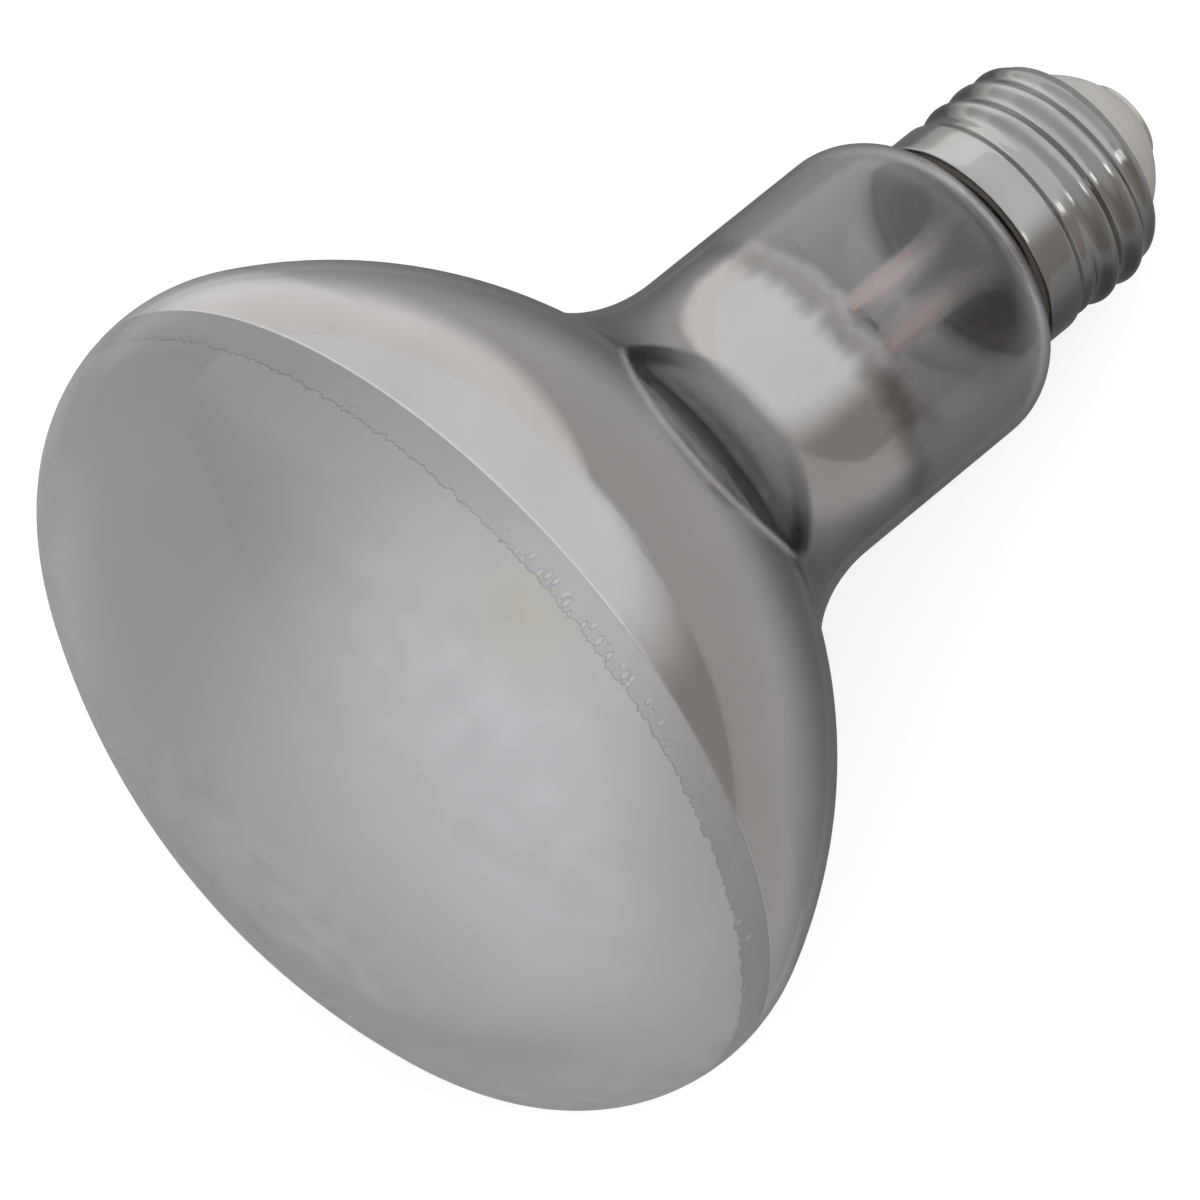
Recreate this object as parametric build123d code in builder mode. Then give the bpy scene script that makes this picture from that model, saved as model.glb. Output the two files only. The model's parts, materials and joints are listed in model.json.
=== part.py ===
from build123d import *
import os
from math import acos, asin, atan2, cos, degrees, hypot, radians, sin, sqrt

# Reflector lamp with a screw cap, lying on a table on its bowl and its cap.
# Millimetres, +Z up. Places named "..._place" run along the lamp's axis from the contact tip to the face.

# Glass bulb
bulb_diameter = 95.0
overall_length = 129.0
face_height = 25.7  # from the widest ring to the top of the face
edge_radius = 17.5  # round edge between the bowl and the face
bowl_radius = 55.0
bowl_handover = 114.0  # angle to the axis at which the round edge becomes the bowl
neck_fillet = 22.0
neck_diameter = 35.0
shoulder_radius = 8.5
seal_diameter = 20.4  # glass stub inside the cap
seal_depth = 6.0  # how far the stub reaches into the cap
glass_wall = 0.9

# Stem inside the neck
stem_diameter = 8.4
flare_radius = 14.0
flare_clearance = 0.3  # between the flare and the stub around it
stem_length = 20.0  # from the seal to the press
press_rise = 6.0  # where the round tube is squeezed flat
press_flat = 6.0
press_width = 10.0
press_thickness = 3.2
press_corner = 1.2
exhaust_diameter = 3.0
exhaust_bore = 1.8
exhaust_length = 23.0

# Filament mount
arbor_diameter = 2.8
button_diameter = 5.2
button_height = 3.0
filament_below_widest = 7.0
filament_ring_radius = 9.0
filament_diameter = 0.9
support_drop = 9.0  # from the filament down to the middle of the button
support_diameter = 0.4
support_bend = 2.0
support_angles = (45.0, 90.0, 135.0)
lead_diameter = 0.7
lead_spread = 3.2  # from the axis, where the leads leave the press
lead_straight = 8.0  # straight runs at both ends of a lead
lead_bend = 5.0

# Screw cap
cap_length = 25.0
thread_diameter = 26.2
thread_root_diameter = 24.4
thread_pitch = 3.63
thread_turns = 3.03
ridge_foot_width = 3.1  # where the ridge is rooted in the sheet
ridge_shoulder_width = 1.5
ridge_shoulder_drop = 0.25  # below the crest
ridge_crest_width = 0.5
thread_lead_in = 0.8  # from the shell's end to the start of the ridge
thread_rise = 1.3  # length over which the first turn rises from the shell
thread_fade = 2.7  # length over which the last turn sinks into the shell
trim_clearance = 0.3  # how far the cut that ends the ridge passes the crest and the sheet
collar_diameter = 25.9
collar_length = 4.2
collar_taper = 1.5  # cone between the thread and the collar
sheet = 0.4
shell_edge = 1.0  # bevel between the sleeve and its lip
shell_opening_diameter = 20.8

# Insulator, contact and feed wires in the cap
solder_height = 0.9
solder_diameter = 7.2
contact_flat_diameter = 3.2
plate_thickness = 0.7
plate_diameter = 9.6
insulator_front_diameter = 11.2
insulator_cone = 6.4
insulator_bulge = 0.65  # height of the cone's curve over its chord
insulator_depth = 2.4  # part of the insulator behind the shell's lip
wire_hole_diameter = 1.6
feed_diameter = 0.6
feed_offset = 2.35
feed_bend = 1.5
feed_drop = 2.6  # shell feed wire below the flare's flange
feed_slope = 3.5  # run over which the contact feed wire swings to the axis
cement_start = 0.4  # above the collar's lower end
cement_recess = 0.8  # below the collar's rim
seat_gap = 0.05

# Places along the axis
widest_place = overall_length - face_height
shoulder_place = cap_length + shoulder_radius
seal_place = cap_length - seal_depth
stem_top_place = seal_place + stem_length
press_top_place = stem_top_place + press_rise + press_flat
filament_place = widest_place - filament_below_widest
support_place = filament_place - support_drop
plate_place = solder_height
insulator_place = plate_place + plate_thickness
shell_place = insulator_place + insulator_cone
shell_edge_place = shell_place + shell_edge
insulator_back_place = shell_place + sheet + insulator_depth
collar_place = cap_length - collar_length
root_end_place = collar_place - collar_taper
thread_place = shell_place + thread_lead_in
exhaust_tip_place = stem_top_place - exhaust_length

# Radii
bulb_radius = bulb_diameter / 2
neck_radius = neck_diameter / 2
seal_radius = seal_diameter / 2
stem_radius = stem_diameter / 2
crest_radius = thread_diameter / 2
root_radius = thread_root_diameter / 2
collar_radius = collar_diameter / 2
bore_radius = root_radius - sheet
opening_radius = shell_opening_diameter / 2
lip_radius = root_radius - shell_edge
wire_hole_radius = wire_hole_diameter / 2
plate_radius = plate_diameter / 2
insulator_front_radius = insulator_front_diameter / 2
filament_radius = filament_diameter / 2
ridge_height = crest_radius - root_radius

# Glass section: arcs that meet in common tangents, as (place, radius) pairs
edge_centre = (widest_place, bulb_radius - edge_radius)
dome_radius = (face_height**2 + edge_centre[1] ** 2 - edge_radius**2) / (2 * (face_height - edge_radius))
dome_centre = (overall_length - dome_radius, 0)
dome_angle = degrees(atan2(edge_centre[1], edge_centre[0] - dome_centre[0]))
bowl_reach = bowl_radius - edge_radius
bowl_centre = (
    edge_centre[0] - bowl_reach * cos(radians(bowl_handover)),
    edge_centre[1] - bowl_reach * sin(radians(bowl_handover)),
)
fillet_offset = neck_radius + neck_fillet - bowl_centre[1]
fillet_centre = (
    bowl_centre[0] - sqrt((bowl_radius + neck_fillet) ** 2 - fillet_offset**2),
    neck_radius + neck_fillet,
)
fillet_angle = degrees(asin(fillet_offset / (bowl_radius + neck_fillet)))
shoulder_centre = (shoulder_place, neck_radius - shoulder_radius)

# Stem section: the flare's mouth stands just inside the glass stub
mouth_radius = seal_radius - glass_wall - flare_clearance
flare_angle = degrees(acos((stem_radius + flare_radius - mouth_radius) / flare_radius))
flare_place = seal_place + flare_radius * sin(radians(flare_angle))
flange_place = seal_place - glass_wall
inner_flare_angle = degrees(asin((flare_place - flange_place) / (flare_radius + glass_wall)))

# Rest on the table: one line touches the round edge of the bowl and the thread's first crest below
rest_crest_place = thread_place + (thread_pitch - ridge_crest_width) / 2
rest_run = edge_centre[0] - rest_crest_place
rest_rise = edge_centre[1] - crest_radius
tilt = atan2(rest_rise, rest_run) + asin(edge_radius / hypot(rest_run, rest_rise))
tip_height = edge_radius + edge_centre[1] * cos(tilt) - edge_centre[0] * sin(tilt)

# The origin lies on the table under the middle of the lamp's length as it lies
cap_corners = (
    (0, contact_flat_diameter / 2),
    (plate_place, plate_radius),
    (insulator_place, insulator_front_radius),
)
cap_reach = min(place * cos(tilt) - radius * sin(tilt) for place, radius in cap_corners)
face_reach = dome_centre[0] * cos(tilt) + dome_radius
tip = Vector(-(cap_reach + face_reach) / 2, 0, tip_height)
axis_direction = Vector(cos(tilt), 0, sin(tilt))
lamp_axis = Axis(tip, axis_direction)
sideways = Vector(0, 1, 0)
upwards = axis_direction.cross(sideways)


def along(angle):
    """Plane through the axis: x runs to the face, y points out at an angle round from sideways."""
    outwards = sideways * cos(radians(angle)) + upwards * sin(radians(angle))
    return Plane(origin=tip, x_dir=axis_direction, z_dir=axis_direction.cross(outwards))


def across(place):
    """Plane square to the axis: x points sideways, z to the face."""
    return Plane(origin=tip + axis_direction * place, x_dir=sideways, z_dir=axis_direction)


section = along(90)
wire_plane = along(0)


def glass_outline(inset):
    """Half section of the bulb, set in by a wall, from the face down to the seal and back along the axis."""
    stub_radius = seal_radius - inset
    shoulder_end = degrees(asin((stub_radius - shoulder_centre[1]) / (shoulder_radius - inset)))
    CenterArc(dome_centre, dome_radius - inset, 0, dome_angle)
    CenterArc(edge_centre, edge_radius - inset, dome_angle, bowl_handover - dome_angle)
    CenterArc(bowl_centre, bowl_radius - inset, bowl_handover, 180 - fillet_angle - bowl_handover)
    CenterArc(fillet_centre, neck_fillet + inset, -fillet_angle, fillet_angle - 90)
    Line((fillet_centre[0], neck_radius - inset), (shoulder_place, neck_radius - inset))
    shoulder = CenterArc(shoulder_centre, shoulder_radius - inset, 90, 90 - shoulder_end)
    Polyline(shoulder @ 1, (seal_place, stub_radius), (seal_place, 0), (overall_length - inset, 0))


# Glass bulb, blown in one piece and open at the seal
with BuildPart() as glass_envelope:
    with BuildSketch(section):
        with BuildLine():
            glass_outline(0)
        make_face()
    revolve(axis=lamp_axis)
    with BuildSketch(section):
        with BuildLine():
            glass_outline(glass_wall)
        make_face()
    revolve(axis=lamp_axis, mode=Mode.SUBTRACT)

# Stem: a flare fused to the bulb's seal, a tube and a flat press
with BuildPart() as stem:
    with BuildSketch(section):
        with BuildLine():
            CenterArc((flare_place, stem_radius + flare_radius), flare_radius, 270 - flare_angle, flare_angle)
            Polyline(
                (flare_place, stem_radius),
                (stem_top_place, stem_radius),
                (stem_top_place, 0),
                (flange_place, 0),
                (flange_place, seal_radius),
                (seal_place, seal_radius),
                (seal_place, mouth_radius),
            )
        make_face()
    revolve(axis=lamp_axis)
    with BuildSketch(section):
        with BuildLine():
            bell = CenterArc(
                (flare_place, stem_radius + flare_radius),
                flare_radius + glass_wall,
                270 - inner_flare_angle,
                inner_flare_angle,
            )
            Polyline(
                bell @ 1,
                (stem_top_place, stem_radius - glass_wall),
                (stem_top_place, 0),
                (flange_place, 0),
                bell @ 0,
            )
        make_face()
    revolve(axis=lamp_axis, mode=Mode.SUBTRACT)
    with BuildSketch(across(stem_top_place)):
        Circle(stem_radius)
    with BuildSketch(across(stem_top_place + press_rise)) as press_section:
        RectangleRounded(press_width, press_thickness, press_corner)
    loft()
    add(press_section.sketch)
    extrude(amount=press_flat, dir=axis_direction)

# Exhaust tube inside the stem, melted shut at its tip
with BuildPart() as exhaust_tube:
    with BuildSketch(section):
        with BuildLine():
            tip_cap = CenterArc(
                (exhaust_tip_place + exhaust_diameter / 2, 0), exhaust_diameter / 2, 90, 90
            )
            Polyline(tip_cap @ 1, (stem_top_place, 0), (stem_top_place, exhaust_diameter / 2), tip_cap @ 0)
        make_face()
    revolve(axis=lamp_axis)
    with BuildSketch(across(stem_top_place)):
        Circle(exhaust_bore / 2)
    extrude(amount=exhaust_diameter - exhaust_length, mode=Mode.SUBTRACT)

# Glass arbor on the press, with the button that holds the supports
with BuildPart() as arbor:
    with BuildSketch(section):
        with BuildLine():
            Polyline(
                (press_top_place, 0),
                (press_top_place, arbor_diameter / 2),
                (support_place - button_height / 2, arbor_diameter / 2),
                (support_place - button_height / 2, button_diameter / 2),
                (support_place + button_height / 2, button_diameter / 2),
                (support_place + button_height / 2, 0),
                close=True,
            )
        make_face()
    revolve(axis=lamp_axis)

# Filament: half a ring across the axis, straight between its supports
with BuildPart() as filament:
    with BuildLine(across(filament_place)) as filament_line:
        bends = [
            (filament_ring_radius * cos(radians(angle)), filament_ring_radius * sin(radians(angle)))
            for angle in (0, *support_angles, 180)
        ]
        Polyline(*bends)
    with BuildSketch(Plane(origin=filament_line.line @ 0, z_dir=filament_line.line % 0)):
        Circle(filament_radius)
    sweep(transition=Transition.RIGHT)

pieces = {
    "glass_envelope": glass_envelope,
    "stem": stem,
    "exhaust_tube": exhaust_tube,
    "arbor": arbor,
    "filament": filament,
}

# Support wires from the button to the filament
for number, angle in enumerate(support_angles, start=1):
    with BuildPart() as support_wire:
        with BuildLine(along(angle)) as support_line:
            FilletPolyline(
                (support_place, button_diameter / 2),
                (support_place, filament_ring_radius),
                (filament_place - filament_radius - seat_gap, filament_ring_radius),
                radius=support_bend,
            )
        with BuildSketch(Plane(origin=support_line.line @ 0, z_dir=support_line.line % 0)):
            Circle(support_diameter / 2)
        sweep()
    pieces[f"support_wire_{number}"] = support_wire

# Lead wires from the press to the two ends of the filament
for side, sign in (("left", 1), ("right", -1)):
    with BuildPart() as lead_wire:
        with BuildLine(wire_plane) as lead_line:
            FilletPolyline(
                (press_top_place, sign * lead_spread),
                (press_top_place + lead_straight, sign * lead_spread),
                (filament_place - lead_straight, sign * filament_ring_radius),
                (filament_place - filament_radius - seat_gap, sign * filament_ring_radius),
                radius=lead_bend,
            )
        with BuildSketch(Plane(origin=lead_line.line @ 0, z_dir=lead_line.line % 0)):
            Circle(lead_diameter / 2)
        sweep()
    pieces[f"lead_wire_{side}"] = lead_wire

# Ridge of the screw thread, trimmed where it runs out at both ends
with BuildPart() as thread_ridge:
    with BuildLine() as thread_line:
        Helix(
            pitch=thread_pitch,
            height=thread_turns * thread_pitch,
            radius=root_radius,
            center=tip + axis_direction * thread_place,
            direction=axis_direction,
        )
    thread_start = thread_line.line @ 0
    thread_out = thread_start - (tip + axis_direction * thread_place)
    with BuildSketch(Plane(origin=thread_start, x_dir=thread_out, z_dir=thread_line.line % 0)):
        with BuildLine():
            flank = Polyline(
                (-sheet / 2, ridge_foot_width / 2),
                (ridge_height - ridge_shoulder_drop, ridge_shoulder_width / 2),
                (ridge_height, ridge_crest_width / 2),
                (ridge_height, 0),
            )
            mirror(flank, about=Plane.XZ)
            Line((-sheet / 2, ridge_foot_width / 2), (-sheet / 2, -ridge_foot_width / 2))
        make_face()
    sweep(is_frenet=True)
    with BuildSketch(wire_plane):
        with BuildLine():
            Polyline(
                (shell_edge_place, opening_radius),
                (shell_edge_place, root_radius),
                (shell_edge_place + thread_rise, crest_radius + trim_clearance),
                (root_end_place - thread_fade, crest_radius + trim_clearance),
                (root_end_place, root_radius - trim_clearance),
                (root_end_place, opening_radius),
                close=True,
            )
        make_face()
    revolve(axis=lamp_axis, mode=Mode.INTERSECT)

# Cap shell: a sheet sleeve with a lip at its end, the rolled thread and a smooth collar
with BuildPart() as cap_shell:
    with BuildSketch(wire_plane):
        with BuildLine():
            Polyline(
                (shell_place, opening_radius),
                (shell_place, lip_radius),
                (shell_edge_place, root_radius),
                (root_end_place, root_radius),
                (collar_place, collar_radius),
                (cap_length, collar_radius),
                (cap_length, collar_radius - sheet),
                (collar_place, collar_radius - sheet),
                (root_end_place, bore_radius),
                (shell_edge_place, bore_radius),
                (shell_place + sheet, lip_radius),
                (shell_place + sheet, opening_radius),
                close=True,
            )
        make_face()
    revolve(axis=lamp_axis)
    add(thread_ridge.part)
pieces["cap_shell"] = cap_shell

# Insulator that closes the end of the shell, held behind its lip
with BuildPart() as insulator:
    with BuildSketch(section):
        with BuildLine():
            SagittaArc(
                (insulator_place, insulator_front_radius),
                (shell_place, opening_radius - seat_gap),
                insulator_bulge,
            )
            Polyline(
                (shell_place, opening_radius - seat_gap),
                (shell_place + sheet, opening_radius - seat_gap),
                (shell_place + sheet, lip_radius - seat_gap),
                (shell_edge_place, bore_radius - seat_gap),
                (insulator_back_place, bore_radius - seat_gap),
                (insulator_back_place, wire_hole_radius),
                (insulator_place, wire_hole_radius),
                (insulator_place, insulator_front_radius),
            )
        make_face()
    revolve(axis=lamp_axis)
pieces["insulator"] = insulator

# Contact plate on the insulator
with BuildPart() as contact_plate:
    with BuildSketch(across(plate_place)):
        Circle(plate_radius)
        Circle(wire_hole_radius, mode=Mode.SUBTRACT)
    extrude(amount=plate_thickness)
pieces["contact_plate"] = contact_plate

# Solder drop on the contact plate, pressed flat at its tip
with BuildPart() as contact_solder:
    with BuildSketch(section):
        with BuildLine():
            Polyline(
                (0, contact_flat_diameter / 2),
                (0, 0),
                (solder_height, 0),
                (solder_height, solder_diameter / 2),
            )
            TangentArc(
                (0, contact_flat_diameter / 2), (solder_height, solder_diameter / 2), tangent=(0, 1)
            )
        make_face()
    revolve(axis=lamp_axis)
pieces["contact_solder"] = contact_solder

# Cement ring between the glass stub and the collar
with BuildPart() as basing_cement:
    with BuildSketch(across(collar_place + cement_start)):
        Circle(collar_radius - sheet - seat_gap)
        Circle(seal_radius + seat_gap, mode=Mode.SUBTRACT)
    extrude(amount=collar_length - cement_start - cement_recess)
pieces["basing_cement"] = basing_cement

# Feed wire from the press to the solder drop
with BuildPart() as contact_feed_wire:
    with BuildLine(wire_plane) as contact_line:
        FilletPolyline(
            (stem_top_place, feed_offset),
            (insulator_back_place + feed_slope, feed_offset),
            (insulator_back_place, 0),
            (solder_height, 0),
            radius=feed_bend,
        )
    with BuildSketch(Plane(origin=contact_line.line @ 0, z_dir=contact_line.line % 0)):
        Circle(feed_diameter / 2)
    sweep()
pieces["contact_feed_wire"] = contact_feed_wire

# Feed wire from the press to the inside of the shell
with BuildPart() as shell_feed_wire:
    with BuildLine(wire_plane) as shell_line:
        FilletPolyline(
            (stem_top_place, -feed_offset),
            (flange_place - feed_drop, -feed_offset),
            (flange_place - feed_drop, seat_gap - bore_radius),
            radius=feed_bend,
        )
    with BuildSketch(Plane(origin=shell_line.line @ 0, z_dir=shell_line.line % 0)):
        Circle(feed_diameter / 2)
    sweep()
pieces["shell_feed_wire"] = shell_feed_wire

# One file for each piece
os.makedirs("parts", exist_ok=True)
for name, piece in pieces.items():
    piece.part.label = name
    export_step(piece.part, f"parts/{name}.step")
print("tilt", round(degrees(tilt), 3), "tip", tip)
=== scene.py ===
"""Reflector lamp on a white table: glass, mirror and frost, stem, rolled screw cap, light and camera."""

from __future__ import annotations

import json
import logging
import math
from dataclasses import dataclass
from enum import Enum

import bpy
from mathutils import Matrix, Quaternion, Vector


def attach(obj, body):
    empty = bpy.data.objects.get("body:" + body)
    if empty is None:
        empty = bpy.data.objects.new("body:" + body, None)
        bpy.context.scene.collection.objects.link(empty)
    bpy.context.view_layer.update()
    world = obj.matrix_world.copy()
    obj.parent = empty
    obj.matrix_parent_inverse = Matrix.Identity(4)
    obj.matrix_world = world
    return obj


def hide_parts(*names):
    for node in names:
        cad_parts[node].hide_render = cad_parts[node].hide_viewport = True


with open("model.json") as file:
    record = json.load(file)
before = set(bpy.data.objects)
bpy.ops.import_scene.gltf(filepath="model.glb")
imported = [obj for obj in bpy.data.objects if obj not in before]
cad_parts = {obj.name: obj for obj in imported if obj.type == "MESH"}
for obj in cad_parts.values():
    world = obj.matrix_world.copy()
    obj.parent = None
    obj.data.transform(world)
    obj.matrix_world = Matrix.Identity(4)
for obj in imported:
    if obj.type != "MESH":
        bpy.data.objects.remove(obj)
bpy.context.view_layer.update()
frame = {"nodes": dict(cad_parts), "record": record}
BODY = "root"
LOG = logging.getLogger("reflector_lamp")

MM = 0.001
MERGE_DISTANCE = 0.002 * MM
SMOOTH_ANGLE = math.radians(35.0)
WHITE = (1.0, 1.0, 1.0)

# Sizes that several sub-assemblies share, in millimetres
CAP_LENGTH = 25.0
SEAL_PLACE = 19.0
SEAL_RADIUS = 10.2
GLASS_WALL = 0.9

# A ring that closes on the axis keeps this radius in millimetres.
POINT = 0.01

# Most values of a noise lie in this range.
NOISE_LOW = 0.3
NOISE_HIGH = 0.7

Station = tuple[float, float]
Color = tuple[float, float, float]
Direction = tuple[float, float, float]
Piece = bpy.types.Object
Material = bpy.types.Material
Tree = bpy.types.NodeTree
Node = bpy.types.Node
Socket = bpy.types.NodeSocket


class Ray(Enum):
    """Outputs of the Light Path node that the scene asks for."""

    CAMERA = "Is Camera Ray"
    SHADOW = "Is Shadow Ray"
    GLOSSY = "Is Glossy Ray"
    TRANSMISSION = "Is Transmission Ray"


class Slot(Enum):
    """Material slots of the record that the dressed pieces take their finish from."""

    BULB = "bulb_glass"
    STEM = "stem_glass"
    CAP = "cap_metal"
    INSULATOR = "insulator_stone"


class Kind(Enum):
    """Kinds of socket on the shared node groups."""

    NUMBER = "NodeSocketFloat"
    VECTOR = "NodeSocketVector"


# Helpers for shapes


def arc(centre: Station, radius: float, start: float, end: float, steps: int) -> list[Station]:
    """Points along an arc of a half section, with its angles in degrees from the direction of the face."""
    angles = (math.radians(start + (end - start) * i / steps) for i in range(steps + 1))
    return [(centre[0] + radius * math.cos(a), centre[1] + radius * math.sin(a)) for a in angles]


def stretch(first: Station, last: Station, steps: int) -> list[Station]:
    """Points along a straight stretch of a half section, in equal steps."""
    shares = (i / steps for i in range(steps + 1))
    return [(first[0] + (last[0] - first[0]) * s, first[1] + (last[1] - first[1]) * s) for s in shares]


def bow(first: Station, last: Station, height: float, steps: int) -> list[Station]:
    """Points along a shallow curve of a half section.

    Args:
        first: Station at the start.
        last: Station at the end, farther from the axis.
        height: How far the curve's middle stands out from its chord.
        steps: Number of stretches that the curve is divided into.

    Returns:
        Stations from the start to the end.
    """
    run, rise = last[0] - first[0], last[1] - first[1]
    length = math.hypot(run, rise)
    points = []
    for i, (place, radius) in enumerate(stretch(first, last, steps)):
        out = 4.0 * height * i * (steps - i) / steps**2
        points.append((place - out * rise / length, radius + out * run / length))
    return points


def smooth_step(low: float, high: float, value: float) -> float:
    """Share from 0 below low to 1 above high, with soft ends."""
    share = min(max((value - low) / (high - low), 0.0), 1.0)
    return share * share * (3.0 - 2.0 * share)


def looking(azimuth: float, elevation: float) -> Vector:
    """Direction of view from an azimuth and an elevation.

    Args:
        azimuth: Degrees, 0 along +Y and 90 along -X.
        elevation: Degrees above the table that the view comes from.

    Returns:
        The unit direction.
    """
    turn, rise = math.radians(azimuth), math.radians(elevation)
    flat = math.cos(rise)
    return Vector((-math.sin(turn) * flat, math.cos(turn) * flat, -math.sin(rise)))


def paint(piece: Piece, material: Material) -> None:
    """Gives a piece its one material."""
    piece.data.materials.clear()
    piece.data.materials.append(material)


def place_in_scene(name: str, data: bpy.types.ID) -> Piece:
    """Makes an object from a lamp's or a camera's data and links it to the scene.

    Args:
        name: Name of the object.
        data: What the object shows.

    Returns:
        The object.
    """
    thing = bpy.data.objects.new(name, data)
    bpy.context.scene.collection.objects.link(thing)
    return thing


@dataclass(frozen=True)
class LampAxis:
    """The lamp's axis in the row frame, from the contact tip to the face."""

    tip: Vector
    direction: Vector
    up: Vector
    side: Vector

    @classmethod
    def from_record(cls, record: dict) -> LampAxis:
        """Reads the axis from the end contact's place.

        Args:
            record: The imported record.

        Returns:
            The axis, with its upward and sideways directions.
        """
        contact = next(mount for mount in record["mounts"] if mount["name"] == "end_contact")
        direction = -Vector(contact["axis"]).normalized()
        side = Vector((0.0, -1.0, 0.0))
        return cls(Vector(contact["pos_m"]), direction, side.cross(direction), side)

    def point(self, place: float, radius: float) -> Vector:
        """Point above the axis, in metres, from its place and its distance in millimetres."""
        return self.tip + (self.direction * place + self.up * radius) * MM

    def from_row(self) -> Matrix:
        """Rotation from the row frame to the lamp's own frame, with the axis along Z."""
        return Matrix((self.up, self.side, self.direction))

    def placement(self) -> Matrix:
        """Matrix that sets a piece modelled upright on its axis into the row frame."""
        return Matrix.Translation(self.tip) @ self.from_row().transposed().to_4x4()


class Workshop:
    """Makes meshes the way a turner or a glass blower would: by turning a section or drawing out rings."""

    def __init__(self, axis: LampAxis) -> None:
        """Keeps the axis that every piece is made about."""
        self.axis = axis

    @staticmethod
    def begin(name: str) -> Piece:
        """Names the shape that was just added and selects all of it in edit mode.

        Args:
            name: Name of the new piece.

        Returns:
            The piece.
        """
        piece = bpy.context.object
        piece.name = name
        piece.data.name = name
        bpy.ops.object.transform_apply(location=True, rotation=True, scale=True)
        bpy.ops.object.mode_set(mode="EDIT")
        bpy.ops.mesh.select_all(action="SELECT")
        return piece

    def turn(self, name: str, section: list[Station], segments: int) -> Piece:
        """Turns a half section about the axis.

        Args:
            name: Name of the piece.
            section: Stations of the section, in order.
            segments: Number of steps round the axis.

        Returns:
            The turned piece, with its seam and poles merged.
        """
        points = [self.axis.point(place, radius) for place, radius in section]
        bpy.ops.object.select_all(action="DESELECT")
        bpy.ops.mesh.primitive_plane_add(size=MM, location=points[0])
        piece = self.begin(name)
        bpy.ops.mesh.merge(type="CENTER")
        for before, after in zip(points, points[1:]):
            bpy.ops.mesh.extrude_region_move(TRANSFORM_OT_translate={"value": after - before})
        bpy.ops.mesh.select_all(action="SELECT")
        bpy.ops.mesh.spin(
            steps=segments, angle=math.tau, center=self.axis.tip, axis=self.axis.direction
        )
        self.close(piece)
        return piece

    def draw_out(self, name: str, rings: list[tuple[float, float, float]], segments: int) -> Piece:
        """Draws a tube out of a circle, ring by ring, with a width and a depth of its own at each ring.

        Args:
            name: Name of the piece.
            rings: Place, half width and half depth of each ring, in millimetres.
            segments: Number of vertices in a ring.

        Returns:
            The open tube, set into the row frame.
        """
        bpy.ops.object.select_all(action="DESELECT")
        place, width, depth = rings[0]
        bpy.ops.mesh.primitive_circle_add(vertices=segments, radius=1.0, location=(0.0, 0.0, place * MM))
        bpy.context.object.scale = (depth * MM, width * MM, 1.0)
        piece = self.begin(name)
        for before, after in zip(rings, rings[1:]):
            rise = Vector((0.0, 0.0, (after[0] - before[0]) * MM))
            bpy.ops.mesh.extrude_region_move(TRANSFORM_OT_translate={"value": rise})
            bpy.ops.transform.resize(
                value=(after[2] / before[2], after[1] / before[1], 1.0),
                center_override=(0.0, 0.0, after[0] * MM),
            )
        bpy.ops.object.mode_set(mode="OBJECT")
        piece.matrix_world = self.axis.placement()
        bpy.ops.object.transform_apply(location=True, rotation=True, scale=True)
        return piece

    def close(self, piece: Piece) -> None:
        """Merges doubles, turns the faces outwards and shades the piece smooth.

        Args:
            piece: The piece, which is selected and active.
        """
        if piece.mode != "EDIT":
            bpy.ops.object.mode_set(mode="EDIT")
        bpy.ops.mesh.select_all(action="SELECT")
        bpy.ops.mesh.remove_doubles(threshold=MERGE_DISTANCE)
        bpy.ops.mesh.normals_make_consistent(inside=False)
        bpy.ops.object.mode_set(mode="OBJECT")
        bpy.ops.object.shade_smooth_by_angle(angle=SMOOTH_ANGLE)

    def join(self, first: Piece, other: Piece) -> Piece:
        """Joins two open pieces along their common edges into one closed piece.

        Args:
            first: The piece that stays.
            other: The piece that becomes part of it.

        Returns:
            The first piece.
        """
        bpy.ops.object.select_all(action="DESELECT")
        for piece in (first, other):
            piece.select_set(True)
        bpy.context.view_layer.objects.active = first
        bpy.ops.object.join()
        self.close(first)
        return first


# Helpers for finishes


@dataclass(frozen=True)
class Span:
    """Smooth change from one result to another between two limits, which are numbers or sockets."""

    low: object
    high: object
    start: float = 0.0
    end: float = 1.0


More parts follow.
